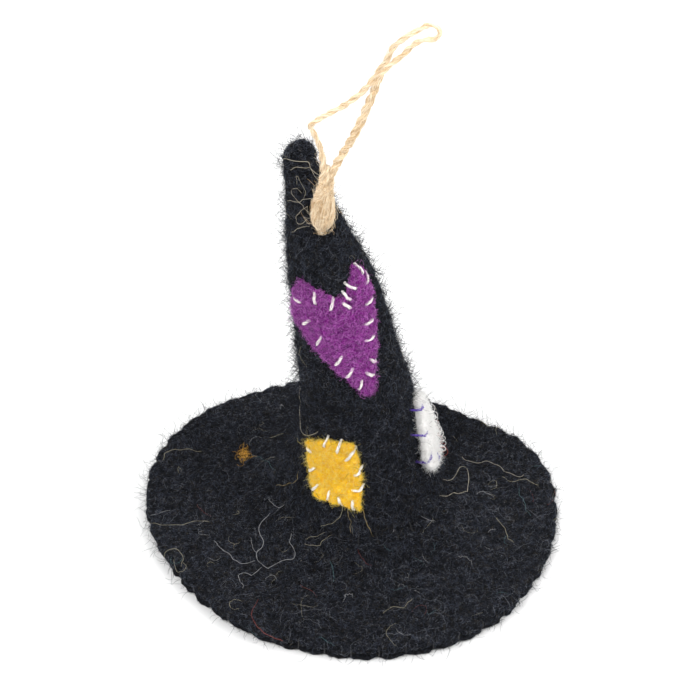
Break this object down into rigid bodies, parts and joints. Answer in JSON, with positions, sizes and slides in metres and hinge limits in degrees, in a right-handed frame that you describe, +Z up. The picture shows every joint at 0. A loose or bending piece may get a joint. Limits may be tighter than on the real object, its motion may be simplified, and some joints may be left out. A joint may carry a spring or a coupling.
{
  "type": "felt witch hat ornament",
  "caption": "Small hand-felted witch hat ornament: leaning hollow crown on a wide two-ply brim, sewn-on felt patches, and a hanging loop of jute cord through the crown.",
  "frame": {"origin": "centre of the brim on the plane it rests on", "axes": "+Z up through the crown, -Y towards the front with the heart patch, +X to the right seen from the front"},
  "size_m": [0.1214, 0.1129, 0.162],
  "materials": {
    "black_felt": "matte fuzzy wool felt",
    "purple_felt": "matte wool felt",
    "yellow_felt": "matte wool felt",
    "white_felt": "matte wool felt",
    "white_thread": "twisted cotton thread, low sheen",
    "violet_thread": "twisted cotton thread, low sheen",
    "black_thread": "twisted cotton thread, low sheen",
    "jute": "loosely spun two-ply jute, slightly hairy"
  },
  "bodies": {
    "hat": {"brim_underside": "black_felt", "brim_top": "black_felt", "brim_edge_stitching": "black_thread", "crown": "black_felt", "base_seam_stitching": "black_thread", "crown_seam_stitching": "black_thread", "heart_patch": "purple_felt", "heart_stitching": "white_thread", "square_patch": "yellow_felt", "square_stitching": "white_thread", "white_patch": "white_felt", "white_patch_stitching": "violet_thread"},
    "cord_knot": {"cord_stop_knot": "jute"},
    "cord_lower": {"cord_loop_lower": "jute"},
    "cord_upper": {"cord_loop_upper": "jute"}
  },
  "joints": [
    {"name": "cord_swing", "type": "hinge", "parent": "hat", "child": "cord_knot", "pos_m": [-0.00727, -0.00039, 0.1], "axis": [0.3304, -0.9077, 0.2588], "range_deg": [-80, 80]},
    {"name": "cord_tilt", "type": "hinge", "parent": "cord_knot", "child": "cord_lower", "pos_m": [-0.00675, -0.00184, 0.10041], "axis": [0.9397, 0.342, 0], "range_deg": [-12, 105]},
    {"name": "cord_bend", "type": "hinge", "parent": "cord_lower", "child": "cord_upper", "pos_m": [0.0058, -0.0067, 0.1468], "axis": [0.8601, 0, -0.5101], "range_deg": [-75, 75]}
  ]
}
